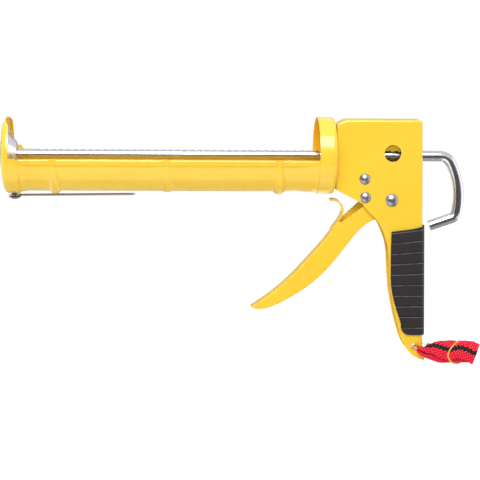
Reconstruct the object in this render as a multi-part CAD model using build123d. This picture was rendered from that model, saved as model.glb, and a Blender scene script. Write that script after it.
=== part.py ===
"""Ratchet caulking gun with a half-round trough, a toothed push rod, a squeeze trigger and a wrist strap.

Millimetres. X runs along the push rod towards its hook, Y across, Z up. The shapes are drawn with the rod's
axis on X and the back of the retainer cup at X = 0. They are written out about the middle of the hand grip.
"""

import math
import os

from build123d import *

os.makedirs("parts", exist_ok=True)

# Driving dimensions: the barrel
TROUGH_BORE = 50.0
SHEET = 0.8
BARREL_L = 236.6
EDGE_DROP = 1.6
HEM_H = 3.8
HEM_T = 0.9
RIB_W = 8.4
RIB_DEPTHS = (2.2, 0.8, 2.2)
CUP_DEPTH = 12.3
CAP_SKIRT = 14.0
CAP_RIM = 7.2
CAP_TURN = 6.0
SLOT_W = 20.0

# Driving dimensions: the push rod and its plate
ROD_D = 7.5
TOOTH_PITCH = 5.2
TOOTH_DEPTH = 1.0
PLATE_D = 43.0
HOOK_REACH = 76.9

# Driving dimensions: the housing, its handle and the trigger
HOUSING_W = 17.6
HOUSING_SHEET = 1.2
HOUSING_TOP = 26.3
HOUSING_BACK = 62.5
HANDLE_DROP = 148.2
BACK_RAKE = 1.5
GRIP_T = 1.4
TRIGGER_SHEET = 1.2
TRIGGER_TRAVEL = 32.0
PIVOT_X = 41.6
PIVOT_Z = -31.1
PAWL_ARM = 19.0

# Driving dimensions: the small parts
WIRE_D = 1.7
WIRE_L = 80.0
RING_WIRE_D = 1.6
WEB_W = 16.0
WEB_T = 1.2

# Clearances
RUN = 0.07
FIT = 0.03
CLEAR = 0.3

# Derived sizes
ROD_R = ROD_D / 2
BORE_R = TROUGH_BORE / 2
TROUGH_R = BORE_R + SHEET
BELL_R = TROUGH_R + 0.8
CUP_R = BELL_R + FIT + SHEET
CAP_R = BELL_R + FIT + SHEET
CAP_FRONT = -BARREL_L
CAP_BACK = CAP_FRONT + CAP_SKIRT
HALF_W = HOUSING_W / 2
INNER_W = HALF_W - HOUSING_SHEET
CHEEK_W = INNER_W - HOUSING_SHEET
TRIG_W = CHEEK_W - CLEAR
TRIG_IN = TRIG_W - TRIGGER_SHEET
REST_TILT = math.radians(TRIGGER_TRAVEL / 2)
PAWL_X = PIVOT_X + PAWL_ARM * math.sin(REST_TILT)
PAWL_Z = PIVOT_Z + PAWL_ARM * math.cos(REST_TILT)
PAWL_RISE = PAWL_ARM * (1 - math.cos(REST_TILT))
RIVET_A = (21.9, -15.9)
RIVET_B = (22.5, -29.2)
SHANK_R = 2.1
BIG_SHANK_R = 3.0
BUSH_R = 4.2
CAP_DOME = 2.4
CAP_ROUND = 3.2
CUP_ROUND = 2.6


def back_x(z):
    return HOUSING_BACK + (HOUSING_TOP - z) * math.tan(math.radians(BACK_RAKE))


GRIP_TOP = -51.5
GRIP_L = HANDLE_DROP - 70.5
GRIP_END = GRIP_TOP - GRIP_L
GRIP_Z = (GRIP_TOP + GRIP_END) / 2
GRIP_X = back_x(GRIP_Z) - 12.0
RING_Z = 9.6 - HANDLE_DROP
RING_HOLE = (back_x(RING_Z) - 5.9, RING_Z)


def down(share):
    return GRIP_TOP - share * GRIP_L


def write(name, shape):
    export_step(Pos(-GRIP_X, 0, -GRIP_Z) * shape, f"parts/{name}.step")


def slab(face, half):
    return extrude(Plane.XZ * face, half, both=True)


def bar(x, z, radius, y0, y1):
    return Pos(x, (y0 + y1) / 2, z) * Rot(90, 0, 0) * Cylinder(radius, y1 - y0)


def rod_x(radius, x0, x1):
    return Pos((x0 + x1) / 2, 0, 0) * Rot(0, 90, 0) * Cylinder(radius, x1 - x0)


def turned(*lines):
    return revolve(Plane.XZ * make_face(list(lines)), Axis.X)


def corner(a, b, r_centre, radius):
    mid = math.sqrt(0.5) * radius
    sx = -1 if a[0] < r_centre[0] or b[0] < r_centre[0] else 1
    return ThreePointArc(a, (r_centre[0] + sx * mid, r_centre[1] + mid), b)


def dome(radius, height):
    ball = (radius**2 + height**2) / (2 * height)
    cap = Pos(0, 0, height - ball) * Sphere(ball)
    return cap & Pos(0, 0, height / 2) * Cylinder(radius + 1, height)


def rivet(x, z, shank, head, height, half):
    body = bar(x, z, shank, -half, half)
    near = Pos(x, -half, z) * Rot(90, 0, 0) * dome(head, height)
    far = Pos(x, half, z) * Rot(-90, 0, 0) * dome(head, height)
    return body + near + far


# Trough: half-round sheet, belled at both ends, with three pressed ribs and folded edges
bell_front = CAP_BACK + 1.0
bell_back = -CUP_DEPTH - 4.0
trough_front = CAP_FRONT + CAP_DOME + CAP_ROUND + 0.2
trough_back = -CUP_ROUND - 0.2


def trough_shell(radius):
    return [
        (trough_front, radius + BELL_R - TROUGH_R),
        (bell_front, radius + BELL_R - TROUGH_R),
        (bell_front + 4.0, radius),
        (bell_back - 9.0, radius),
        (bell_back, radius + BELL_R - TROUGH_R),
        (trough_back, radius + BELL_R - TROUGH_R),
    ]


outer_line = trough_shell(TROUGH_R)
inner_line = trough_shell(BORE_R)
trough = turned(Polyline(*outer_line, *reversed(inner_line), close=True))


def rib(x, depth, drop):
    shift = 1.2 * depth - 0.12
    peak = TROUGH_R + depth - shift - drop
    foot = peak - depth - 0.3
    arc = ThreePointArc((x - RIB_W / 2 + drop, foot), (x, peak), (x + RIB_W / 2 - drop, foot))
    low = foot - 1.5
    base = Polyline(arc @ 1, (x + RIB_W / 2 - drop, low), (x - RIB_W / 2 + drop, low), arc @ 0)
    return Pos(0, 0, -shift) * turned(arc, base)


rib_first = CAP_BACK + 24.5
rib_last = -39.5
rib_places = (rib_first, (rib_first + rib_last) / 2, rib_last)
bore = rod_x(BORE_R, -BARREL_L, 0)
for place, depth in zip(rib_places, RIB_DEPTHS):
    trough = trough + (rib(place, depth, 0) - bore)
for place, depth in zip(rib_places, RIB_DEPTHS):
    trough = trough - (rib(place, depth, SHEET) - bore)
open_top = Pos(-BARREL_L / 2, 0, 40 - EDGE_DROP - HEM_T) * Box(BARREL_L + 40, 80, 80)
trough = trough - open_top
NOTCH_W = 4.0
NOTCH_FOOT = 1.05
NOTCH_SHIFT = -1.2
hem_front = CAP_BACK + CLEAR
hem_back = -CUP_DEPTH - CLEAR
hem_r = TROUGH_R + HEM_T
hem_low = EDGE_DROP + HEM_H
roll_r = (hem_r - BORE_R) / 2
roll_z = EDGE_DROP + roll_r
roll_y = math.sqrt(((hem_r + BORE_R) / 2) ** 2 - roll_z**2)
band = Circle(hem_r) - Circle(BORE_R)
band = band & Pos(0, -(roll_z + hem_low) / 2) * Rectangle(90, hem_low - roll_z)
for side in (-1, 1):
    band = band + Pos(side * roll_y, -roll_z) * Circle(roll_r)
hem = Pos(hem_front, 0, 0) * extrude(Plane.YZ * band, hem_back - hem_front)
sleeve = rod_x(TROUGH_R, -BARREL_L, 0)
for place in rib_places:
    x = place + NOTCH_SHIFT
    notch = [(x - NOTCH_W, 0), (x - NOTCH_FOOT, -hem_low), (x + NOTCH_FOOT, -hem_low), (x + NOTCH_W, 0)]
    hem = hem - (slab(make_face(Polyline(*notch, close=True)), 40) - sleeve)
trough = trough + hem
pierce_x = CAP_FRONT + 9.4
trough = trough - Pos(pierce_x, 0, -BELL_R) * Cylinder(2.0 + RUN, 8)
write("trough", trough)

# Front cap: a domed plate with a nozzle slot, a short rim above and a deep skirt below, turned on the trough


def cap_side(inset):
    r = CAP_R - inset
    front = CAP_FRONT + inset
    knee = r - CAP_ROUND + inset
    dome_x = front + CAP_DOME
    face = ThreePointArc((front, 0), (front + CAP_DOME / 4, knee / 2), (dome_x, knee))
    centre = (dome_x + CAP_ROUND - inset, knee)
    edge = corner((dome_x, knee), (centre[0], r), centre, CAP_ROUND - inset)
    return face, edge, Line((centre[0], r), (CAP_BACK, r))


face_o, edge_o, skirt_o = cap_side(0)
face_i, edge_i, skirt_i = cap_side(SHEET)
lip = Line(skirt_o @ 1, skirt_i @ 1)
nose = Line(face_o @ 0, face_i @ 0)
cap = turned(face_o, edge_o, skirt_o, lip, skirt_i, edge_i, face_i, nose)
rim_back = CAP_FRONT + CAP_RIM
CAP_FLANGE = 1.6
cap = cap - Pos(rim_back + 10, 0, 40 + CAP_FLANGE) * Box(20, 80, 80)
cap = cap - rod_x(SLOT_W / 2, CAP_FRONT - 5, CAP_FRONT + 30)
cap = cap - Pos(CAP_FRONT + 12.5, 0, 20) * Box(35, SLOT_W, 40)
ear_top = CAP_R - 2.0
ear_low = ear_top - 5.6
ear_round = ThreePointArc((rim_back, ear_low), (rim_back - 1.0, ear_top - 1.7), (rim_back - 3.2, ear_top))
ear_rest = Polyline(
    ear_round @ 1,
    (rim_back - 12, ear_top),
    (rim_back - 12, 60),
    (rim_back + 20, 60),
    (rim_back + 20, ear_low),
    ear_round @ 0,
)
cap = cap - slab(make_face([ear_round, ear_rest]), 60)
flange_low = CAP_FLANGE - 5.5
flange_top = (CAP_BACK - 2.4, CAP_FLANGE)
flange_round = ThreePointArc((CAP_BACK, flange_low), (CAP_BACK - 0.7, CAP_FLANGE - 1.9), flange_top)
flange_rest = Polyline(
    flange_round @ 1,
    (CAP_BACK - 2.4, CAP_FLANGE + 2),
    (CAP_BACK + 5, CAP_FLANGE + 2),
    (CAP_BACK + 5, flange_low),
    flange_round @ 0,
)
cap = cap - slab(make_face([flange_round, flange_rest]), 60)
cap = Rot(CAP_TURN, 0, 0) * cap
cap = cap - Pos(pierce_x, 0, -CAP_R) * Cylinder(2.0 + RUN, 8)
write("front_cap", cap)

# Retainer cup: drawn ring with a closed back, where the cartridge's rear end sits
cup_hole = ROD_R + 0.6


def cup_side(inset):
    r = CUP_R - inset
    back = -inset
    knee = CUP_R - CUP_ROUND
    wall = Line((back, cup_hole), (back, knee))
    edge = corner((back, knee), (-CUP_ROUND, r), (-CUP_ROUND, knee), CUP_ROUND - inset)
    return wall, edge, Line((-CUP_ROUND, r), (-CUP_DEPTH, r))


wall_o, bend_o, ring_o = cup_side(0)
wall_i, bend_i, ring_i = cup_side(SHEET)
cup_lip = Line(ring_o @ 1, ring_i @ 1)
cup_eye = Line(wall_i @ 0, wall_o @ 0)
cup = turned(wall_o, bend_o, ring_o, cup_lip, ring_i, bend_i, wall_i, cup_eye)
CUP_RIVET_Z = 13.0
for z in (CUP_RIVET_Z, -CUP_RIVET_Z):
    cup = cup - Pos(0, 0, z) * rod_x(SHANK_R + FIT, -5, 5)
write("retainer_cup", cup)

# Neck bracket: folded saddle inside the housing that carries the cup, guides the rod and takes two rivets
NECK_TOP = HOUSING_TOP - 6.5
NECK_LOW = -22.6
neck_web = Box(HOUSING_SHEET, 2 * INNER_W, NECK_TOP - NECK_LOW)
neck_web = Pos(HOUSING_SHEET / 2, 0, (NECK_TOP + NECK_LOW) / 2) * neck_web
cheek_line = [(0, NECK_LOW), (0, NECK_TOP), (6, NECK_TOP), (27, -9), (27.5, -31), (23, -33), (18, -30.6)]
neck = slab(make_face(Polyline(*cheek_line, close=True)), INNER_W)
neck = neck - Pos(40 + HOUSING_SHEET, 0, 0) * Box(80, 2 * CHEEK_W, 120)
neck = neck + neck_web - rod_x(ROD_R + RUN, -5, 5)
for x, z in (RIVET_A, RIVET_B):
    neck = neck - bar(x, z, SHANK_R + FIT, -20, 20)
for z in (CUP_RIVET_Z, -CUP_RIVET_Z):
    neck = neck - Pos(0, 0, z) * rod_x(SHANK_R + FIT, -5, 5)
write("neck_bracket", neck)

cup_rivets = []
for z in (CUP_RIVET_Z, -CUP_RIVET_Z):
    pin = Pos(0, 0, z) * rod_x(SHANK_R, -SHEET, HOUSING_SHEET)
    head = Pos(-SHEET, 0, z) * Rot(0, -90, 0) * dome(3.8, 1.6)
    tail = Pos(HOUSING_SHEET, 0, z) * Rot(0, 90, 0) * dome(3.2, 1.2)
    cup_rivets.append(pin + head + tail)
write("cup_rivets", Compound(children=cup_rivets))

# Housing: pressed shell, closed over the top and down the back, open at the front and below
FRONT_X = 1.4
belly = Line((FRONT_X, -23.8), (18.1, -32.3))
tip = (back_x(-HANDLE_DROP) + 1.0, -HANDLE_DROP)
handle_front = Spline(
    (18.1, -32.3),
    (24.3, -38.6),
    (30.8, -45.2),
    (36.0, down(0.037)),
    (39.2, down(0.154)),
    (40.8, down(0.328)),
    (42.3, down(0.553)),
    (46.0, down(0.807)),
    (50.3, down(1.006)),
    (53.5, down(1.106)),
    (59.1, down(1.193)),
    tip,
    tangents=((17.0, -8.8), (9.0, -2.2)),
)
heel = (back_x(-HANDLE_DROP + 6.0), -HANDLE_DROP + 6.0)
back_top = (back_x(HOUSING_TOP), HOUSING_TOP)
brow = ThreePointArc((10.2, HOUSING_TOP), (5.2, HOUSING_TOP - 1.09), (FRONT_X, HOUSING_TOP - 3.84))
outline = [
    belly,
    handle_front,
    Polyline(tip, (tip[0] + 0.2, tip[1] + 1.6), heel),
    Line(heel, back_top),
    Line(back_top, (10.2, HOUSING_TOP)),
    brow,
    Line((FRONT_X, HOUSING_TOP - 3.84), (FRONT_X, -23.8)),
]
block = slab(make_face(outline), HALF_W)


def folded_edges(solid, half):
    found = []
    for edge in solid.edges():
        c = edge.center()
        on_side = abs(abs(c.Y) - half) < 0.01 and abs(edge.bounding_box().size.Y) < 0.01
        at_back = c.X > HOUSING_BACK - 3 and c.Z > -HANDLE_DROP + 8
        if on_side and (at_back or c.Z > HOUSING_TOP - 4):
            found.append(edge)
    return found


crown = []
for edge in block.edges():
    c = edge.center()
    if abs(c.X - back_top[0]) < 0.1 and c.Z > HOUSING_TOP - 0.1:
        crown.append(edge)
block = fillet(crown, 3.0)
block = fillet(folded_edges(block, HALF_W), 1.8)
hollow_line = [
    (FRONT_X - 10, HOUSING_TOP - 4.2 - HOUSING_SHEET),
    (FRONT_X, HOUSING_TOP - 4.1 - HOUSING_SHEET),
    (5.2, HOUSING_TOP - 1.2 - HOUSING_SHEET),
    (10.2, HOUSING_TOP - HOUSING_SHEET),
    (back_top[0] - 3.0, HOUSING_TOP - HOUSING_SHEET),
    (back_top[0] - HOUSING_SHEET, HOUSING_TOP - 3.0),
    (back_x(-HANDLE_DROP + 6.0) - HOUSING_SHEET, -HANDLE_DROP + 6.0),
    (tip[0] - HOUSING_SHEET, -HANDLE_DROP - 0.5),
    (tip[0] - HOUSING_SHEET, -HANDLE_DROP - 20),
    (FRONT_X - 10, -HANDLE_DROP - 20),
]
housing = block - slab(make_face(Polyline(*hollow_line, close=True)), INNER_W)
for x, z in (RIVET_A, RIVET_B):
    housing = housing - bar(x, z, SHANK_R + FIT, -20, 20)
housing = housing - bar(PIVOT_X, PIVOT_Z, BIG_SHANK_R + FIT, -20, 20)
housing = housing - bar(PIVOT_X, 2.5, 6.0, -20, 0)
housing = housing - bar(RING_HOLE[0], RING_HOLE[1], 3.0, -20, 20)
BUSH_OUT = ROD_R + 2.0
housing = housing - rod_x(BUSH_OUT + FIT, HOUSING_BACK - 8, HOUSING_BACK + 8)
write("housing", housing)

bush_end = back_x(BUSH_OUT) + 0.2
collar_r = min(BUSH_OUT + 2.0, INNER_W - 0.1)
collar_end = back_x(collar_r) - HOUSING_SHEET - 0.1
guide = rod_x(BUSH_OUT, HOUSING_BACK - 8, bush_end) + rod_x(collar_r, HOUSING_BACK - 8, collar_end)
guide = guide - rod_x(ROD_R + RUN, HOUSING_BACK - 20, HOUSING_BACK + 20)
write("rear_guide", guide)

# Grip: banded rubber sleeve over the back of the handle, open at the front
grip_head = (back_x(GRIP_TOP) + GRIP_T, GRIP_TOP + 2.1)
grip_top = Spline((41.7, GRIP_TOP - 2.4), (49.1, GRIP_TOP - 1.4), (57.6, GRIP_TOP - 0.2), grip_head)
grip_front = Spline(
    (41.7, GRIP_TOP - 2.4),
    (41.7, down(0.187)),
    (41.8, down(0.367)),
    (42.7, down(0.560)),
    (47.1, down(0.775)),
    (50.4, down(0.895)),
)
grip_low = ThreePointArc((50.4, down(0.895)), (52.0, down(0.972)), (56.3, GRIP_END))
grip_back = Polyline((56.3, GRIP_END), (back_x(GRIP_END) + GRIP_T, GRIP_END), grip_head)
grip_face = make_face([grip_top, grip_front, grip_low, grip_back])
GRIP_ROUND = 4.0
GROOVE_DEPTH = 0.5


def sleeve_block(inset):
    half = HALF_W + GRIP_T - inset
    solid = Pos(-inset, 0, 0) * slab(grip_face, half)
    rounded = []
    for edge in solid.edges():
        c = edge.center()
        if abs(abs(c.Y) - half) < 0.01 and c.X > back_x(c.Z) + 0.1 and c.Z > GRIP_END + 5:
            rounded.append(edge)
    return fillet(rounded, GRIP_ROUND - inset)


grip = sleeve_block(0)
core = sleeve_block(GROOVE_DEPTH) + slab(grip_face, HALF_W)
GROOVES = 9
for i in range(GROOVES):
    z = GRIP_TOP - 9.2 - i * (GRIP_TOP - GRIP_END - 15.0) / (GROOVES - 1)
    slant = max(0.0, 6.0 - i * 1.2)
    cut = Pos(HOUSING_BACK - 7.4, 0, z) * Rot(0, -slant, 0) * Box(60, 2 * HALF_W + 20, 0.6)
    grip = grip - (cut - core)
grip = grip - block
write("grip", grip)

# Rivets through the housing, the pivot bush and its two spacing washers
pair = [rivet(x, z, SHANK_R, 4.05, 2.1, HALF_W) for x, z in (RIVET_A, RIVET_B)]
write("bracket_rivets", Compound(children=pair))
write("pivot_rivet", rivet(PIVOT_X, PIVOT_Z, BIG_SHANK_R, 4.75, 2.4, HALF_W))
bush = bar(PIVOT_X, PIVOT_Z, BUSH_R, -INNER_W, INNER_W) - bar(PIVOT_X, PIVOT_Z, BIG_SHANK_R + FIT, -20, 20)
write("pivot_bush", bush)
washers = []
for side in (-1, 1):
    low = TRIG_W + 0.1
    ring = bar(PIVOT_X, PIVOT_Z, 7.0, low, INNER_W - 0.05) - bar(PIVOT_X, PIVOT_Z, BUSH_R + FIT, -20, 20)
    washers.append(ring if side > 0 else mirror(ring, Plane.XZ))
write("pivot_washers", Compound(children=washers))

# Trigger: pressed channel, web to the front, with its upper web cut free and curled into a finger horn
nib = (-58.4, -109.2)
root = (2.9, -47.1)
front_pts = [nib, (-42.5, -98.0), (-30.3, -87.2), (-18.6, -74.6), (-6.6, -60.8), root]
stop_gap = SHANK_R + CLEAR
seat = (RIVET_B[0] - 0.4, RIVET_B[1] - stop_gap)
seat_end = (RIVET_B[0] + stop_gap + 0.6, RIVET_B[1] + 0.2)
fork = (5.4, -46.8)
far_peak = (RIVET_B[0] - 3.3, RIVET_B[1] - 4.7)
trig_front = Spline(*front_pts)
flange_line = Polyline(
    root,
    fork,
    far_peak,
    seat,
    seat_end,
    (PIVOT_X - 7.8, PIVOT_Z + 6.8),
    (PAWL_X - 5.2, PAWL_Z - 2),
)
arm_top = ThreePointArc((PAWL_X - 5.2, PAWL_Z - 2), (PAWL_X, PAWL_Z + 4.6), (PAWL_X + 4.4, PAWL_Z - 2))
arm_back = Polyline((PAWL_X + 4.4, PAWL_Z - 2), (PIVOT_X + 8.2, PIVOT_Z + 4), (PIVOT_X + 8.2, PIVOT_Z - 3))
heel_line = Spline((PIVOT_X + 8.2, PIVOT_Z - 3), (PIVOT_X + 4.0, PIVOT_Z - 9.2), (30.6, -45.1))
trig_back = Spline(
    (30.6, -45.1),
    (21.6, -50.4),
    (13.8, -59.0),
    (-1.4, -78.6),
    (-17.1, -93.6),
    (-32.8, -103.7),
    (-45.8, -109.6),
    (-54.6, -110.6),
    nib,
)
trig_solid = slab(make_face([trig_front, flange_line, arm_top, arm_back, heel_line, trig_back]), TRIG_W)
low_end = trig_front @ 0 - (trig_front % 0) * 20
high_end = trig_front @ 1 + (trig_front % 1) * 60
far_side = Polyline(high_end, (140, high_end.Y), (140, low_end.Y - 20), (low_end.X, low_end.Y - 20), low_end)
nose_face = make_face([Line(low_end, trig_front @ 0), trig_front, Line(trig_front @ 1, high_end), far_side])
nose_block = slab(nose_face, TRIG_W)
web_edges = []
for edge in nose_block.edges():
    c = edge.center()
    if abs(abs(c.Y) - TRIG_W) < 0.01 and c.X < 60 and c.Z > low_end.Y + 1:
        if edge.bounding_box().size.Z > 1 and edge.bounding_box().size.X > 1:
            web_edges.append(edge)
nose_block = fillet(web_edges, 2.2)
trig_solid = trig_solid & nose_block


def pushed(points, amount):
    moved = []
    for i, p in enumerate(points):
        a = points[max(i - 1, 0)]
        b = points[min(i + 1, len(points) - 1)]
        size = math.hypot(b[0] - a[0], b[1] - a[1])
        moved.append((p[0] + amount * (b[1] - a[1]) / size, p[1] - amount * (b[0] - a[0]) / size))
    return moved


inner_front = pushed(front_pts, TRIGGER_SHEET)
inner_front[0] = (nib[0] + 4.0, nib[1] + 1.2)
hollow_edge = Spline(*inner_front)
last = inner_front[-1]
slot_line = Polyline(
    last,
    (last[0] - 6, last[1] + 4.5),
    (-10, 10),
    (70, 10),
    (70, -130),
    (nib[0] + 4.0, -130),
    inner_front[0],
)
trigger = trig_solid - slab(make_face([hollow_edge, slot_line]), TRIG_IN)
HORN_T = 1.3
HORN_W = 2 * TRIG_IN - 0.8
horn_pts = [
    (-0.7, -53.0),
    (3.4, -47.4),
    (6.1, -42.6),
    (6.9, -38.6),
    (5.9, -35.0),
    (3.5, -32.6),
    (0.5, -31.5),
    (-2.4, -31.7),
]
horn_a = pushed(horn_pts, HORN_T / 2)
horn_b = pushed(horn_pts, -HORN_T / 2)
horn_end = Line(horn_a[-1], horn_b[-1])
horn_root = Line(horn_b[0], horn_a[0])
horn = slab(make_face([Spline(*horn_a), horn_end, Spline(*horn_b), horn_root]), HORN_W / 2)
near_edge = Polyline(fork, (fork[0] + 0.6, fork[1] - 0.4), (21.0, -36.2), seat, far_peak, close=True)
trigger = trigger - Pos(0, -20, 0) * slab(make_face(near_edge), 20)
trigger = trigger + horn
trigger = trigger - bar(RIVET_B[0], RIVET_B[1], stop_gap, -20, 20)
trigger = trigger - bar(PIVOT_X, PIVOT_Z, BUSH_R + RUN, -20, 20)
trigger = trigger - bar(PAWL_X, PAWL_Z, 2.0 + FIT, -20, 20)
write("trigger", trigger)

# Pawl on its pin: a hardened catch that stands under the rod and drives one tooth at a time
PAWL_HALF = 2.0
pawl_tip = (PAWL_X - 12.0, -ROD_R - PAWL_RISE - 0.12)
pawl_line = [
    pawl_tip,
    (pawl_tip[0] + 1.6, pawl_tip[1] - 0.1),
    (PAWL_X + 1.5, PAWL_Z + 4.0),
    (PAWL_X + 4.0, PAWL_Z),
    (PAWL_X + 1.0, PAWL_Z - 4.0),
    (PAWL_X - 4.0, PAWL_Z - 2.6),
    (pawl_tip[0] - 0.2, pawl_tip[1] - 2.6),
]
pawl = slab(make_face(Polyline(*pawl_line, close=True)), PAWL_HALF)
pawl = pawl - bar(PAWL_X, PAWL_Z, 2.0 + RUN, -20, 20)
write("pawl", pawl)
write("pawl_pin", bar(PAWL_X, PAWL_Z, 2.0, -TRIG_W, TRIG_W))


def least_gap(path, wire, apart):
    """Least distance between points of a tube further apart than this along it, less its thickness."""
    count = 300
    points = [path @ (i / count) for i in range(count + 1)]
    skip = math.ceil(apart * count / path.length)
    least = path.length
    for i, point in enumerate(points):
        for other in points[i + skip :]:
            least = min(least, (point - other).length)
    return round(least - wire, 2)


def coil(radius, wire, turns, pitch, first, last):
    """A coil about Z with a straight leg off each end, drawn as one tube."""
    height = turns * pitch
    helix = Helix(pitch, height, radius)
    start = helix @ 0
    end = helix @ 1
    leg_a = Line(start - (helix % 0) * first, start)
    leg_b = Line(end, end + (helix % 1) * last)
    path = Wire([leg_a.edge(), helix.edge(), leg_b.edge()])
    print("least gap in a coil", least_gap(path, wire, math.pi * radius))
    return sweep(Plane(origin=path @ 0, z_dir=path % 0) * Circle(wire / 2), path=path, is_frenet=True)


SPRING_WIRE = 1.2
SPRING_PITCH = 1.7
SPRING_TURNS = 4.25
SPRING_R = BUSH_R + SPRING_WIRE / 2 + 0.5
spring_len = SPRING_TURNS * SPRING_PITCH
spring = coil(SPRING_R, SPRING_WIRE, SPRING_TURNS, SPRING_PITCH, 15.0, 13.0)
spring = Pos(PIVOT_X, spring_len / 2, PIVOT_Z) * Rot(90, 0, 0) * Rot(0, 0, 40) * spring
write("trigger_spring", spring)
SMALL_WIRE = 0.6
SMALL_PITCH = 1.2
small = coil(2.0 + 0.5 + 0.35, SMALL_WIRE, 1.25, SMALL_PITCH, 5.0, 6.0)
small = Pos(PAWL_X, PAWL_HALF + 2.3, PAWL_Z) * Rot(90, 0, 0) * Rot(0, 0, 200) * small
write("pawl_spring", small)

# Push rod: round bar with a rack of saw teeth along its top and a pulling hook at the back
HUB_X = CAP_FRONT + 11.5
shoulder = HUB_X + 0.1
run_in = Line((shoulder, 0), (HOOK_REACH, 0))
bend = JernArc(run_in @ 1, run_in % 1, 9.0, -62)
bow = JernArc(bend @ 1, bend % 1, 54.0, -39)
turn = JernArc(bow @ 1, bow % 1, 6.2, -60)
tail = Line(turn @ 1, turn @ 1 + (turn % 1) * 16.6)
rod_path = Plane.XZ * (run_in + bend + bow + turn + tail)
rod_path = Wire(rod_path.edges())
rod = sweep(Plane(origin=(shoulder, 0, 0), x_dir=(0, 1, 0), z_dir=(1, 0, 0)) * Circle(ROD_R), path=rod_path)
TOOTH_FIRST = HUB_X + 16.5
TOOTH_COUNT = int((HOUSING_BACK - 10 - TOOTH_FIRST) / TOOTH_PITCH)
rack = [(TOOTH_FIRST, ROD_R + 3)]
for i in range(TOOTH_COUNT):
    x = TOOTH_FIRST + i * TOOTH_PITCH
    rack.append((x, ROD_R - TOOTH_DEPTH))
    rack.append((x + TOOTH_PITCH - 0.6, ROD_R))
    rack.append((x + TOOTH_PITCH, ROD_R))
rack.append((TOOTH_FIRST + TOOTH_COUNT * TOOTH_PITCH, ROD_R + 3))
rod = rod - slab(make_face(Polyline(*rack, close=True)), ROD_R + 1)
STUD_R = 3.0
rod = rod + rod_x(STUD_R, HUB_X - 7.6, shoulder + 0.5)
write("push_rod", rod)

# Plunger plate: dished disc that the rod can turn in, with a washer and a nut in its hollow
PLATE_T = 1.5
PLATE_R = PLATE_D / 2
hub_r = 8.6
dish_x = HUB_X - 6.4
rim_x = CAP_FRONT + SHEET + CAP_DOME + 0.8 + PLATE_T
plate = turned(
    Polyline(
        (HUB_X, STUD_R + RUN),
        (HUB_X, hub_r),
        (dish_x, PLATE_R - 5.5),
        (rim_x, PLATE_R - 2.0),
        (rim_x, PLATE_R),
        (rim_x - PLATE_T, PLATE_R),
        (rim_x - PLATE_T, PLATE_R - 2.4),
        (dish_x - PLATE_T, PLATE_R - 6.4),
        (HUB_X - PLATE_T, hub_r - 0.9),
        (HUB_X - PLATE_T, STUD_R + RUN),
        close=True,
    )
)
write("plunger_plate", plate)
nut_x = HUB_X - PLATE_T - 1.2
washer = rod_x(6.2, nut_x, HUB_X - PLATE_T - 0.1) - rod_x(STUD_R + FIT, -300, 0)
write("plunger_washer", washer)
nut = Pos(nut_x - 4.0, 0, 0) * extrude(Plane.YZ * RegularPolygon(5.0, 6, major_radius=False), 4.0)
nut = nut - rod_x(STUD_R + FIT, -300, 0)
write("plunger_nut", nut)

# Piercing wire that folds under the trough, with its rivet and washer
wire_r = WIRE_D / 2
rib_low = TROUGH_R + max(RIB_DEPTHS)
wire_z = -max(rib_low, CAP_R + 0.5) - CLEAR - wire_r
eye_r = 2.0 + RUN + wire_r
eye = Torus(eye_r, wire_r)
leg = Pos(eye_r + WIRE_L / 2, 0, 0) * Rot(0, 90, 0) * Cylinder(wire_r, WIRE_L)
point = Pos(eye_r + WIRE_L + 1.5, 0, 0) * Rot(0, 90, 0) * Cone(wire_r, 0.3, 3.0)
write("piercing_wire", Pos(pierce_x, 0, wire_z) * Rot(0, 0, 5.5) * (eye + leg + point))
eye_top = wire_z + wire_r
pad = Pos(pierce_x, 0, (eye_top + 0.05 - CAP_R - 0.02) / 2) * Cylinder(4.0, -CAP_R - 0.02 - eye_top - 0.05)
write("piercer_washer", pad - Pos(pierce_x, 0, wire_z) * Cylinder(2.0 + FIT, 10))
head_z = wire_z - wire_r - 0.05
inside_z = -math.sqrt((BELL_R - SHEET) ** 2 - 3.6**2)
stud = Pos(pierce_x, 0, (inside_z + head_z) / 2) * Cylinder(2.0, inside_z - head_z)
stud = stud + Pos(pierce_x, 0, inside_z + 0.4) * Cylinder(3.5, 0.8)
stud = stud + Pos(pierce_x, 0, head_z) * Rot(180, 0, 0) * dome(4.6, 2.0)
write("piercer_rivet", stud)

# Strap ring through the handle's heel, with a folded wrist strap and its rubber band
RING_R = 12.0
RING_PITCH = 8.0
chord = HALF_W - HOUSING_SHEET / 2
ring_back = math.sqrt(RING_R**2 - chord**2)
ring_at = Pos(RING_HOLE[0], 0, RING_HOLE[1]) * Rot(0, RING_PITCH, 0)
write("strap_ring", ring_at * Pos(ring_back, 0, 0) * Torus(RING_R, RING_WIRE_D / 2))
FOLDS = 6
FOLD_PITCH = 1.9
BUNDLE_L = 21.0
BUNDLE_SLOPE = math.radians(4.0)
along = Vector(math.cos(BUNDLE_SLOPE), 0, -math.sin(BUNDLE_SLOPE))
upward = Vector(math.sin(BUNDLE_SLOPE), 0, math.cos(BUNDLE_SLOPE))
ring_end = RING_HOLE[0] + ring_back + RING_R + RING_WIRE_D / 2
bundle = Vector(ring_end + FOLD_PITCH / 2 + WEB_T / 2 + 0.9, 0, RING_HOLE[1] - 2.6)
NEAR_Y = -RING_R - 0.3
held = ring_at * Pos(ring_back, -RING_R, 0)
knot = held.position


def lay(u, y):
    return bundle + along * u + Vector(0, y, 0)


def fold(u, y, side):
    stops = []
    for step in range(1, 6):
        a = math.pi * step / 6
        bulge = side * FOLD_PITCH / 2 * math.sin(a)
        stops.append((lay(u + bulge, y + FOLD_PITCH / 2 * (1 + math.cos(a))), -upward, WEB_W))
    return stops


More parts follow.
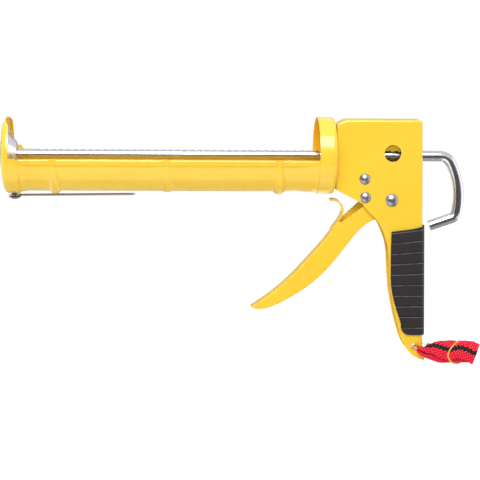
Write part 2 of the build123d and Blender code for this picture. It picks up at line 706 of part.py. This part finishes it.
def tilted(degrees):
    a = math.radians(degrees)
    return Vector(-math.cos(a), 0, -math.sin(a))


stops = []
for i in reversed(range(1, FOLDS)):
    y = NEAR_Y + i * FOLD_PITCH
    ends = (BUNDLE_L, 0) if i % 2 == 1 else (0, BUNDLE_L)
    stops.append((lay(ends[0], y), -upward, WEB_W))
    stops.append((lay(ends[1], y), -upward, WEB_W))
    if i > 1:
        stops += fold(ends[1], y - FOLD_PITCH, -1 if ends[1] == 0 else 1)
LOOP_R = RING_WIRE_D / 2 + 1.5
LOOP_W = 0.4 * WEB_W
stops.append((knot + Vector(7.6, -0.7, -1.0), tilted(84), 0.72 * WEB_W))
stops.append((knot + Vector(3.6, -1.9, -1.6), tilted(66), 0.62 * WEB_W))
stops.append((knot + Vector(0.9, -1.7, -2.7), tilted(32), 0.5 * WEB_W))
for step in range(7):
    a = math.pi * step / 6 - math.pi / 2
    ring_side = Vector(0, LOOP_R * math.cos(a), LOOP_R * math.sin(a))
    stops.append((knot + ring_side, tilted(-RING_PITCH), LOOP_W))
stops.append((knot + Vector(0.8, -2.7, 2.3), tilted(32), 0.5 * WEB_W))
stops.append((knot + Vector(3.4, -4.0, 1.4), tilted(66), 0.62 * WEB_W))
stops.append((knot + Vector(7.6, -2.8, -0.4), tilted(84), 0.72 * WEB_W))
stops.append((lay(0, NEAR_Y), -upward, WEB_W))
stops.append((lay(BUNDLE_L + 1.5, NEAR_Y), -upward, WEB_W))
sections = []
for i, (centre, across, width) in enumerate(stops):
    before = stops[max(i - 1, 0)][0]
    after = stops[min(i + 1, len(stops) - 1)][0]
    heading = (after - before).normalized()
    out = across.cross(heading).normalized() * (WEB_T / 2)
    half = across.normalized() * (width / 2)
    upper = [centre + half + out, centre + half - out]
    lower = [centre - half - out, centre - half + out]
    sections.append(Wire.make_polygon(upper + lower))
strap = Solid.make_loft(sections, ruled=True)
write("wrist_strap", strap)
print("space between two folds", round(FOLD_PITCH - WEB_T, 2))
BAND_T = 1.0
band_in_y = (FOLDS - 1) * FOLD_PITCH + WEB_T + 0.3
band_in_z = WEB_W + 0.3
loop_face = RectangleRounded(band_in_y + 2 * BAND_T, band_in_z + 2 * BAND_T, 1.4)
loop_face = loop_face - Rectangle(band_in_y, band_in_z)
loop = extrude(Plane.YZ * loop_face, 1.6)
loop = Rot(0, math.degrees(BUNDLE_SLOPE), 0) * loop
write("strap_band", Pos(lay(BUNDLE_L * 0.2, NEAR_Y + (FOLDS - 1) * FOLD_PITCH / 2)) * loop)
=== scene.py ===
import math

import bmesh
import bpy
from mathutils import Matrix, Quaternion, Vector


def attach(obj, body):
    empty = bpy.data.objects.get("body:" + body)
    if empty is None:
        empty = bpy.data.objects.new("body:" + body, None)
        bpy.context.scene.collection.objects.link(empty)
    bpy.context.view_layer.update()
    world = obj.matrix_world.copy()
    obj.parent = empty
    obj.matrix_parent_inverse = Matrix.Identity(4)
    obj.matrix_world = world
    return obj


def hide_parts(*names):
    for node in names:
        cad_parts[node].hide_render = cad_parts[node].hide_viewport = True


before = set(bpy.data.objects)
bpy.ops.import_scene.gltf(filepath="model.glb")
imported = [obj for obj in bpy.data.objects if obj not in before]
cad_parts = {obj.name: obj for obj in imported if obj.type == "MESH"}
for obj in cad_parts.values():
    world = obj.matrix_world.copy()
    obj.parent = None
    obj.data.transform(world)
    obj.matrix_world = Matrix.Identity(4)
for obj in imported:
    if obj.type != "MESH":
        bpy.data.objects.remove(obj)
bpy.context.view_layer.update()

# Camera: a long lens, a little above the gun and a few degrees towards its nozzle end.
# The frame is square, and the gun fills it from its front cap to its strap.
aim = Vector((-0.12005, 0.0, 0.02908))
azimuth, elevation, roll = math.radians(-3.3), math.radians(8.5), math.radians(0.6)
distance = 1.095
sensor_mm, focal_pixels, frame_pixels = 36.0, 1520.8, 480
away = Vector((
    math.sin(azimuth) * math.cos(elevation),
    -math.cos(azimuth) * math.cos(elevation),
    math.sin(elevation),
))
camera = bpy.data.objects.new("camera", bpy.data.cameras.new("camera"))
bpy.context.scene.collection.objects.link(camera)
camera.data.sensor_width = sensor_mm
camera.data.lens = sensor_mm * focal_pixels / frame_pixels
camera.location = aim + away * distance
camera.rotation_mode = "QUATERNION"
camera.rotation_quaternion = (-away).to_track_quat("-Z", "Y") @ Quaternion((0, 0, 1), roll)
bpy.context.scene.camera = camera


# Sheet parts: the trough, front cap, retainer cup, housing and trigger are pressed from mild steel sheet.
# They are spot-welded or riveted together and powder-coated a glossy warm yellow.
class Socket:
    """A node's output in a tree, with arithmetic that adds Math nodes."""

    def __init__(self, tree, link=None):
        self.tree = tree
        self.link = link

    def node(self, kind, settings=None, inputs=None, output=0):
        made = self.tree.nodes.new(kind)
        for name, value in (settings or {}).items():
            setattr(made, name, value)
        for name, value in (inputs or {}).items():
            self.put(made.inputs[name], value)
        return Socket(self.tree, made.outputs[output])

    def put(self, socket, value):
        if isinstance(value, Socket):
            self.tree.links.new(value.link, socket)
        else:
            socket.default_value = value

    def maths(self, operation, a, b=0.0):
        return self.node("ShaderNodeMath", {"operation": operation}, {0: a, 1: b})

    def __add__(self, other):
        return self.maths("ADD", self, other)

    __radd__ = __add__

    def __mul__(self, other):
        return self.maths("MULTIPLY", self, other)

    __rmul__ = __mul__

    def __sub__(self, other):
        return self.maths("SUBTRACT", self, other)

    def __rsub__(self, other):
        return self.maths("SUBTRACT", other, self)

    def axis(self, name):
        return self.node("ShaderNodeSeparateXYZ", None, {0: self}, name)

    def noise(self, scale, detail=2.0):
        return self.node("ShaderNodeTexNoise", None, {"Vector": self, "Scale": scale, "Detail": detail})

    def stretched(self, x, y, z):
        return self.node("ShaderNodeMapping", None, {"Vector": self, "Scale": (x, y, z)})

    def between(self, low, high):
        """A smooth step of this value, 0 at low and 1 at high, which may be the smaller of the two."""
        settings = {"interpolation_type": "SMOOTHSTEP"}
        return self.node("ShaderNodeMapRange", settings, {0: self, 1: low, 2: high})

    def zigzag(self, length):
        """A triangle wave of this value, from 0 to 1 and back over one length."""
        return self.maths("PINGPONG", self, length / 2) * (2 / length)

    def colours(self, a, b):
        """Colour a where this value is 0, and b where it is 1."""
        return self.node("ShaderNodeMix", {"data_type": "RGBA"}, {"Factor": self, 6: a, 7: b}, 2)

    def bumps(self, height, strength, normal=None):
        inputs = {"Height": self, "Distance": height, "Strength": strength}
        if normal:
            inputs["Normal"] = normal
        return self.node("ShaderNodeBump", None, inputs)


class Finish:
    """A material on one Principled shader, with constants on its sockets."""

    def __init__(self, name, **constants):
        self.material = bpy.data.materials.new(name)
        self.material.use_nodes = True
        self.shader = self.material.node_tree.nodes["Principled BSDF"]
        start = Socket(self.material.node_tree)
        self.place = start.node("ShaderNodeTexCoord", None, None, "Object")
        self.flat = start.node("ShaderNodeTexCoord", None, None, "UV")
        self.set(**constants)

    def set(self, **values):
        for name, value in values.items():
            self.place.put(self.shader.inputs[name.replace("_", " ")], value)


def coat(node, finish):
    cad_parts[node].material_slots[0].material = finish.material


mm = 0.001
edge_radius, peel_height = 0.5 * mm, 0.04 * mm
deep_yellow, warm_yellow = (0.95, 0.608, 0.040, 1), (0.97, 0.638, 0.050, 1)
paint = Finish("yellow_powder_coat", Coat_Weight=0.55, Coat_Roughness=0.04, Specular_IOR_Level=0.2)
cloud = paint.place.noise(24.0, 3.0)
peel = paint.place.noise(900.0)
soft_edge = paint.place.node("ShaderNodeBevel", {"samples": 4}, {"Radius": edge_radius})
paint.set(
    Base_Color=cloud.between(0.3, 0.7).colours(deep_yellow, warm_yellow),
    Roughness=peel * 0.1 + 0.24,
    Normal=peel.bumps(peel_height, 0.35, soft_edge),
)
for node in ("trough", "front_cap", "retainer_cup", "housing", "trigger"):
    coat(node, paint)

# Push rod: a round cold-drawn steel bar, bent to a hook, with saw teeth rolled along one side.
# It has bright nickel plate over fine drawing lines. The strap's wire ring has the same finish.
nickel_dark, nickel_light = (0.49, 0.49, 0.52, 1), (0.58, 0.58, 0.61, 1)
along_bar, across_bar = 40, 2600
nickel = Finish("bright_nickel", Metallic=0.96)
drawn = nickel.place.stretched(along_bar, across_bar, across_bar).noise(1.0, 3.0)
nickel.set(
    Base_Color=drawn.colours(nickel_dark, nickel_light),
    Roughness=drawn * 0.06 + 0.16,
)
for node in ("push_rod", "strap_ring"):
    coat(node, nickel)

# Rivets: solid steel with domed heads, two through the bracket, one as the trigger's axle and one for the piercer.
# They are plated, and a little dulled by being set.
dull_dark, dull_light = (0.25, 0.24, 0.26, 1), (0.36, 0.35, 0.38, 1)
dulled = Finish("dulled_plate", Metallic=1.0)
scuff = dulled.place.noise(900.0, 3.0)
dulled.set(
    Base_Color=scuff.colours(dull_dark, dull_light),
    Roughness=scuff * 0.16 + 0.26,
)
for node in ("bracket_rivets", "pivot_rivet", "piercer_rivet"):
    coat(node, dulled)

# Zinc-plated small parts: the plunger plate and its fixings, the bracket and its rivets, the guide, the bush and the
# washers. They are stamped or turned from plain steel.
zinc_dark, zinc_light = (0.52, 0.52, 0.55, 1), (0.68, 0.68, 0.71, 1)
zinc = Finish("zinc_plate", Metallic=1.0)
spangle = zinc.place.noise(420.0, 3.0)
zinc.set(
    Base_Color=spangle.colours(zinc_dark, zinc_light),
    Roughness=spangle * 0.2 + 0.2,
)
for node in (
    "plunger_plate", "plunger_washer", "plunger_nut", "neck_bracket", "cup_rivets",
    "rear_guide", "pivot_bush", "pivot_washers", "piercer_washer",
):
    coat(node, zinc)

# Hard steel parts: the pawl, its pin, the two springs and the piercing wire.
# They are cut or wound from hardened steel and left with a plain oiled finish.
steel_dark, steel_light = (0.30, 0.27, 0.24, 1), (0.46, 0.43, 0.40, 1)
steel = Finish("plain_steel", Metallic=1.0)
oil = steel.place.noise(600.0, 3.0)
steel.set(
    Base_Color=oil.colours(steel_dark, steel_light),
    Roughness=oil * 0.2 + 0.25,
)
for node in ("pawl", "pawl_pin", "pawl_spring", "trigger_spring", "piercing_wire"):
    coat(node, steel)

# Grip: a moulded rubber sleeve with lapped bands, pushed over the back of the handle.
# Each band's upper lip carries a pale painted highlight where light would catch it, and the upper bands slant up to
# the back.
band_pitch, first_band, slant_x = 7.8375 * mm, 29.65 * mm, 1.55 * mm
first_slant, slant_loss = 6.0, 1.2
lip_top, lip_bottom = (0.2 * mm, 0.5 * mm), (0.7 * mm, 1.3 * mm)
rubber_dark, rubber_light = (0.015, 0.013, 0.0145, 1), (0.032, 0.028, 0.030, 1)
lip_highlight = (0.16, 0.135, 0.15, 1)
rubber = Finish("grip_rubber", Specular_IOR_Level=0.25)
grain = rubber.place.noise(1400.0, 3.0)
x, z = rubber.place.axis("X"), rubber.place.axis("Z")
bands_down = (first_band - z) * (1 / band_pitch)
slope = bands_down.maths("MAXIMUM", first_slant - bands_down * slant_loss, 0.0) * (math.pi / 180)
below = (first_band - z + slope * (x - slant_x)) * (1 / band_pitch)
below = below.maths("FRACT", below) * band_pitch
# The pale line along each band's upper lip is a painted highlight, made patchy by noise.
lip = below.between(*lip_top) - below.between(*lip_bottom)
patchy_highlight = rubber.place.noise(160.0).between(0.3, 0.65)
rubber.set(
    Base_Color=(lip * (0.3 + patchy_highlight * 0.5)).colours(grain.colours(rubber_dark, rubber_light), lip_highlight),
    Roughness=grain * 0.2 + 0.42,
    Normal=grain.bumps(0.1 * mm, 0.3),
)
coat("grip", rubber)

# Wrist strap: 16 mm woven webbing in red with a dark braided stripe along its middle.
# It goes round the wire ring, gathered, and lies folded in six layers; the front layer is bent along its stripe.
# Sizes are in mm until the mesh is made.
web_half, web_thick = 8.0, 1.2
layer_pitch, layers, near_y = 1.9, 6, -12.3
fold_left, fold_right, fold_bottom, layer_lean = 33.0, 50.2, -59.4, 77
layer_spans, turn_spans = 4, 4
ring_wire, loop_radius, loop_spans = Vector((11.6, -11.1, -49.2)), 1.55, 6
stations = []


def station(x, y, z, tilt, half=web_half, bend=0.0):
    """A cross-section: its middle, its slope from the ring's wire (0) to upright (90), half width and bend."""
    a = math.radians(tilt)
    across = Vector((-math.cos(a), 0, -math.sin(a)))
    stations.append((Vector((x, y, z)), across, half, math.radians(bend)))


def uneven(amount, rate, layer):
    """A small difference from layer to layer."""
    return amount * math.sin(rate * layer)


for i in reversed(range(1, layers)):
    y = near_y + i * layer_pitch
    lean = layer_lean + uneven(1.6, 2.3, i)
    left, right = fold_left + uneven(0.5, 1.7, i), fold_right + uneven(0.6, 2.9, i)
    first, second = (right, left) if i % 2 else (left, right)
    top = min(0.9 * i - 48.6, -45.0) + uneven(0.2, 3.1, i)
    bottom = uneven(0.2, 2.1, i) + fold_bottom
    height, half = (top + bottom) / 2, (top - bottom) / 2
    for step in range(layer_spans + 1):
        station(first + (second - first) * step / layer_spans, y, height, lean, half)
    if i > 1:
        outward = 1 if second == right else -1
        for step in range(1, turn_spans):
            a = math.pi * step / turn_spans
            bulge = outward * layer_pitch / 2 * math.sin(a)
            sunk = y - layer_pitch / 2 * (1 - math.cos(a))
            station(second + bulge, sunk, height, lean, half)
for gathered in (
    (26.5, -10.9, -52.6, 84, 6.6),
    (21.5, -11.6, -52.5, 72, 5.0),
    (16.8, -12.2, -51.9, 50, 4.0),
    (13.4, -12.4, -51.4, 20, 3.4),
):
    station(*gathered)
for step in range(loop_spans + 1):
    a = math.pi * step / loop_spans - math.pi / 2
    station(ring_wire.x, ring_wire.y + loop_radius * math.cos(a), ring_wire.z + loop_radius * math.sin(a), -8, 2.9)
for front in (
    (12.6, -12.6, -47.9, 16, 3.3, 30),
    (15.0, -13.1, -46.8, 52, 4.2, 90),
    (18.3, -13.4, -46.2, 78, 5.6, 110),
    (22.0, -13.4, -46.0, 84, 7.0, 100),
    (26.0, -13.2, -47.3, 86, 7.8, 80),
    (29.4, -12.9, -48.5, 86, web_half, 68),
    (33.1, -12.8, -48.9, 87, web_half, 58),
    (36.5, -12.7, -48.1, 87, web_half, 72),
    (39.8, -12.5, -47.6, 85, web_half, 82),
    (43.2, -12.4, -48.4, 80, web_half, 68),
    (46.3, -12.4, -49.7, 76, web_half, 54),
    (49.2, -12.5, -51.2, 73, web_half, 40),
    (52.0, -12.8, -52.5, 70, web_half, 28),
):
    station(*front)


def smooth(a, b, c, d, t):
    """A value on the curve from b to c, which a and d lead in and out of."""
    linear = (c - a) * (t / 2)
    square = (a - 2.5 * b + 2 * c - d / 2) * t**2
    cubic = ((b - c) * 1.5 + (d - a) / 2) * t**3
    return b + linear + square + cubic


fine = []
rows_per_station = 4
last = len(stations) - 1
for i in range(last):
    four = [stations[min(max(k, 0), last)] for k in (i - 1, i, i + 1, i + 2)]
    for step in range(rows_per_station):
        fine.append([smooth(*(s[part] for s in four), step / rows_per_station) for part in range(4)])
fine.append(list(stations[-1]))

# The webbing's mesh: rows of points across the strap, bent over the first few columns from the stripe.
# Both faces and the edges are closed, and the flat web's own measures are its UV map.
half_columns, crease_columns = 8, 3
columns = 2 * half_columns
grid = []
run = [0.0]
for i, (middle, across, half, bend) in enumerate(fine):
    ahead = fine[min(i + 1, len(fine) - 1)][0] - fine[max(i - 1, 0)][0]
    across = across.normalized()
    out = across.cross(ahead).normalized()
    sides = []
    for side in (-1, 1):
        points = [middle]
        for k in range(half_columns):
            share = min((k + 0.5) / crease_columns, 1.0)
            turn = bend * share if side < 0 else 0.0
            heading = across * side * math.cos(turn) - out * math.sin(turn)
            points.append(points[-1] + heading * (half / half_columns))
        sides.append(points)
    grid.append(sides[0][:0:-1] + sides[1])
    if i:
        run.append(run[-1] + (middle - fine[i - 1][0]).length)
web = bmesh.new()
uv = web.loops.layers.uv.new("web")
knots = {}
rows = len(grid)
for i in range(rows):
    for k in range(columns + 1):
        along = grid[min(i + 1, rows - 1)][k] - grid[max(i - 1, 0)][k]
        over = grid[i][min(k + 1, columns)] - grid[i][max(k - 1, 0)]
        lift = over.cross(along).normalized() * (web_thick / 2)
        for side in (1, -1):
            knots[i, k, side] = web.verts.new((grid[i][k] + lift * side) * mm)


def patch(corners):
    """One face between four knots, each named by its row, its column and its side of the web."""
    face = web.faces.new([knots[c] for c in corners])
    face.smooth = True
    for loop, (i, k, _) in zip(face.loops, corners):
        loop[uv].uv = (run[i] * mm, (k / columns * 2 - 1) * web_half * mm)


for i in range(rows - 1):
    for k in range(columns):
        patch([(i, k, 1), (i + 1, k, 1), (i + 1, k + 1, 1), (i, k + 1, 1)])
        patch([(i, k, -1), (i, k + 1, -1), (i + 1, k + 1, -1), (i + 1, k, -1)])
    patch([(i, 0, 1), (i, 0, -1), (i + 1, 0, -1), (i + 1, 0, 1)])
    patch([(i, columns, 1), (i + 1, columns, 1), (i + 1, columns, -1), (i, columns, -1)])
for k in range(columns):
    patch([(0, k, 1), (0, k + 1, 1), (0, k + 1, -1), (0, k, -1)])
    patch([(rows - 1, k, 1), (rows - 1, k, -1), (rows - 1, k + 1, -1), (rows - 1, k + 1, 1)])
bmesh.ops.recalc_face_normals(web, faces=web.faces)
mesh = bpy.data.meshes.new("strap_webbing")
web.to_mesh(mesh)
web.free()
strap = bpy.data.objects.new("strap_webbing", mesh)
bpy.context.scene.collection.objects.link(strap)

# The webbing's weave: slanting red yarns with pale glints where two of them cross.
# The stripe wanders a little from side to side, and its black braid is chevroned, with the paler chevrons painted in
# as highlights on the braid's ridges.
weave, braid_length, wander_length = 2.6 * mm, 2.4 * mm, 3.2 * mm
wander_width, stripe_edge = 1.0 * mm, (1.65 * mm, 1.35 * mm)
deep_red, bright_red, pale_red = (0.66, 0.001, 0.013, 1), (1.0, 0.014, 0.062, 1), (1.0, 0.34, 0.38, 1)
braid_dark, braid_highlight = (0.002, 0.002, 0.002, 1), (0.06, 0.054, 0.056, 1)
webbing = Finish("red_webbing", Roughness=0.75, Specular_IOR_Level=0.15)
u, v = webbing.flat.axis("X"), webbing.flat.axis("Y")
rib = (u * 0.8 + v * 1.2).zigzag(weave)
cross = (u * 1.3 - v * 0.7).zigzag(weave)
yarn = rib * 0.6 + cross * 0.4
tone = webbing.flat.noise(420.0, 3.0)
red = (yarn * 0.9 + tone * 0.5 - 0.2).colours(deep_red, bright_red)
# The glints are a painted highlight in the base colour.
glint = (rib * cross + tone * 0.3).between(0.66, 0.9)
red = (glint * 0.55).colours(red, pale_red)
off_stripe = v + (u.zigzag(wander_length) - 0.5) * wander_width
stripe = off_stripe.maths("ABSOLUTE", off_stripe).between(*stripe_edge)
# The braid's paler chevrons are a painted highlight on its ridges.
braid = (u + v.maths("ABSOLUTE", v)).zigzag(braid_length).between(0.45, 0.95)
webbing.set(
    Base_Color=stripe.colours(red, braid.colours(braid_dark, braid_highlight)),
    Normal=yarn.bumps(0.5 * mm, 0.7),
)
mesh.materials.append(webbing.material)
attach(strap, "strap")
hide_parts("wrist_strap")

# Rubber band: a thin loop of amber rubber, pulled slantwise round the folded strap to hold it.
# A round section is swept along a smooth closed path, given by points in mm.
band_thick, band_sides, band_smoothness = 1.24 * mm, 10, 6
band_points = [
    (36.8, -11.0, -44.6), (34.0, -13.5, -46.6), (31.7, -13.9, -49.7), (30.7, -13.9, -53.0), (31.8, -13.9, -56.2),
    (34.6, -13.2, -59.0), (38.2, -10.4, -60.2), (41.2, -6.6, -60.2), (43.0, -2.8, -59.4), (43.6, -1.6, -56.0),
    (43.2, -1.5, -51.5), (42.2, -1.6, -47.0), (41.2, -2.9, -44.2), (40.0, -6.6, -44.0), (38.6, -9.4, -44.2),
]
amber_dark, amber_light = (0.82, 0.34, 0.03, 1), (0.9, 0.46, 0.09, 1)
elastic = Finish("rubber_band", Roughness=0.4)
elastic.set(Base_Color=elastic.place.noise(700.0).colours(amber_dark, amber_light))
tree = bpy.data.node_groups.new("band_loop", "GeometryNodeTree")
tree.interface.new_socket("Geometry", in_out="INPUT", socket_type="NodeSocketGeometry")
thickness = tree.interface.new_socket("Thickness", in_out="INPUT", socket_type="NodeSocketFloat")
rubber_in = tree.interface.new_socket("Rubber", in_out="INPUT", socket_type="NodeSocketMaterial")
tree.interface.new_socket("Geometry", in_out="OUTPUT", socket_type="NodeSocketGeometry")
sweep = Socket(tree)
points_in, thick_in, material_in = [sweep.node("NodeGroupInput", output=k) for k in range(3)]
path = sweep.node("GeometryNodeMeshToCurve", None, {"Mesh": points_in})
path = sweep.node("GeometryNodeCurveSplineType", {"spline_type": "NURBS"}, {"Curve": path})
path = sweep.node("GeometryNodeSetSplineResolution", None, {"Geometry": path, "Resolution": band_smoothness})
section = {"Resolution": band_sides, "Radius": thick_in * 0.5}
section = sweep.node("GeometryNodeCurvePrimitiveCircle", None, section)
tube = sweep.node("GeometryNodeCurveToMesh", None, {"Curve": path, "Profile Curve": section})
tube = sweep.node("GeometryNodeSetShadeSmooth", None, {"Geometry": tube})
tube = sweep.node("GeometryNodeRealizeInstances", None, {"Geometry": tube})
tube = sweep.node("GeometryNodeSetMaterial", None, {"Geometry": tube, "Material": material_in})
sweep.put(tree.nodes.new("NodeGroupOutput").inputs[0], tube)
mesh = bpy.data.meshes.new("strap_elastic")
count = len(band_points)
closed = [(k, (k + 1) % count) for k in range(count)]
mesh.from_pydata([Vector(p) * mm for p in band_points], closed, [])
band = bpy.data.objects.new("strap_elastic", mesh)
bpy.context.scene.collection.objects.link(band)
wrap = band.modifiers.new("band_loop", "NODES")
wrap.node_group = tree
wrap[thickness.identifier] = band_thick
wrap[rubber_in.identifier] = elastic.material
band.data = bpy.data.meshes.new_from_object(band.evaluated_get(bpy.context.evaluated_depsgraph_get()))
band.modifiers.remove(wrap)
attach(band, "strap")
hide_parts("strap_band")

# Floor and surround: a wide matt white floor well below the gun, under an even white room.
# Both are white to the eye and in the metal, and give the gun only part of that as light.
floor_z, floor_half = -0.36, 60.0
floor_dark, floor_light = (0.85, 0.85, 0.85, 1), (0.88, 0.88, 0.88, 1)
room_light = 0.35


def level(left, right, near, far, z):
    """The corners of a level rectangle."""
    return [(left, near, z), (right, near, z), (right, far, z), (left, far, z)]


def seen_or_mirrored(start):
    """1 for the camera's own rays and for what metal or glass shows, 0 for light that falls on things."""
    kinds = ("Camera", "Glossy", "Transmission")
    seen, mirrored, through = [start.node("ShaderNodeLightPath", None, None, f"Is {kind} Ray") for kind in kinds]
    return seen.maths("MAXIMUM", seen, mirrored.maths("MAXIMUM", mirrored, through))


mesh = bpy.data.meshes.new("floor")
mesh.from_pydata(level(-floor_half, floor_half, -floor_half, floor_half, floor_z), [], [(0, 1, 2, 3)])
floor = bpy.data.objects.new("floor", mesh)
bpy.context.scene.collection.objects.link(floor)
pale = Finish("pale_floor", Roughness=0.9, Emission_Strength=0.7, Specular_IOR_Level=0.0)
pale.set(
    Base_Color=pale.place.noise(3.0).colours(floor_dark, floor_light),
    Emission_Color=seen_or_mirrored(pale.place),
)
mesh.materials.append(pale.material)

world = bpy.data.worlds.new("surround")
bpy.context.scene.world = world
world.use_nodes = True
background = world.node_tree.nodes["Background"]
background.inputs["Color"].default_value = (1, 1, 1, 1)
sky = Socket(world.node_tree)
sky.put(background.inputs["Strength"], seen_or_mirrored(sky) * (1 - room_light) + room_light)

# Dark flag: matt cloth behind the camera and on the floor before it, darkest towards the nozzle end.
# Greyer strips lie under the trough and the hook, and a grey card stands behind the gun.
# Only reflections show it, so the gloss gets dark edges and the light stays the same.
flag_far, flag_top, flag_edge, flag_left, flag_right = -1.8, 0.75, -0.8, -3.0, 2.2
flag_z = floor_z + 0.01
under_trough, under_hook = (-0.5, -0.02, -0.08, 1.5), (0.06, 0.5, -0.8, 1.5)
card_y, card_left, card_right, card_bottom, card_top = 1.6, -1.5, 1.2, -0.1, 0.7
flag_dark, flag_light, strip_grey = (0.07, 0.07, 0.075, 1), (0.17, 0.17, 0.18, 1), (0.5, 0.5, 0.5, 1)
profile = [(flag_edge, flag_z), (flag_far, flag_z), (flag_far, flag_top)]
corners = [(x, y, z) for x in (flag_left, flag_right) for y, z in profile]
corners += level(*under_trough, flag_z)
corners += [
    (card_left, card_y, card_bottom), (card_right, card_y, card_bottom),
    (card_right, card_y, card_top), (card_left, card_y, card_top),
]
corners += level(*under_hook, flag_z)
mesh = bpy.data.meshes.new("dark_flag")
mesh.from_pydata(corners, [], [(0, 1, 4, 3), (1, 2, 5, 4), (6, 7, 8, 9), (10, 11, 12, 13), (14, 15, 16, 17)])
flag = bpy.data.objects.new("dark_flag", mesh)
bpy.context.scene.collection.objects.link(flag)
cloth = Finish("dark_cloth", Roughness=0.9, Specular_IOR_Level=0.0)
fade = cloth.place.axis("X").between(-1.0, 1.0)
under = cloth.place.axis("Y").between(-0.7, -0.2)
cloth.set(Base_Color=under.colours(fade.colours(flag_dark, flag_light), strip_grey))
mesh.materials.append(cloth.material)
flag.visible_camera = flag.visible_diffuse = flag.visible_shadow = False


# Lamps: a softbox high in front, a panel at each end, and small fills from the camera, above and behind.
# The window is seen in the gloss alone, and the fills are not seen there.
def panel(name, place, wide, tall, watts):
    """A soft lamp that faces the gun, at a place measured from what the camera aims at."""
    light = bpy.data.objects.new(name, bpy.data.lights.new(name, "AREA"))
    bpy.context.scene.collection.objects.link(light)
    light.data.shape = "RECTANGLE"
    light.data.size, light.data.size_y = wide, tall
    light.data.energy = watts
    light.location = aim + Vector(place)
    light.rotation_euler = (aim - light.location).to_track_quat("-Z", "Y").to_euler()
    return light


panel("softbox", (-0.1, -0.9, 0.82), 0.5, 0.65, 8.9)
panel("window", (0.0, -0.8, 0.95), 0.62, 0.7, 16.0).visible_diffuse = False
panel("right_panel", (1.2, 0.06, 0.1), 0.6, 1.2, 3.2)
panel("left_panel", (-1.2, 0.06, 0.1), 0.6, 1.2, 4.0)
panel("front_fill", away * 1.3, 0.15, 0.15, 2.2).visible_glossy = False
panel("top_fill", (0.0, 0.0, 1.2), 0.9, 0.5, 6.0).visible_glossy = False
panel("rear_fill", (0.0, 1.2, 0.5), 0.5, 0.5, 5.0).visible_glossy = False

# Sight spot: a narrow lamp on the line from the camera to the housing's sight hole.
# It shines through the hole on to the rod's teeth, and its beam is no wider than the hole.
sight_hole, spot_reach = Vector((-11.95, -8.8, 92.85)) * mm, 0.65
spot = bpy.data.objects.new("sight_spot", bpy.data.lights.new("sight_spot", "SPOT"))
bpy.context.scene.collection.objects.link(spot)
spot.data.spot_size, spot.data.spot_blend = math.radians(1.0), 0.2
spot.data.shadow_soft_size = 0.5 * mm
spot.data.energy = 7.0
spot.location = sight_hole + (camera.location - sight_hole).normalized() * spot_reach
spot.rotation_euler = (sight_hole - spot.location).to_track_quat("-Z", "Y").to_euler()
spot.visible_camera = spot.visible_glossy = False

bpy.context.scene.view_settings.view_transform = "Standard"
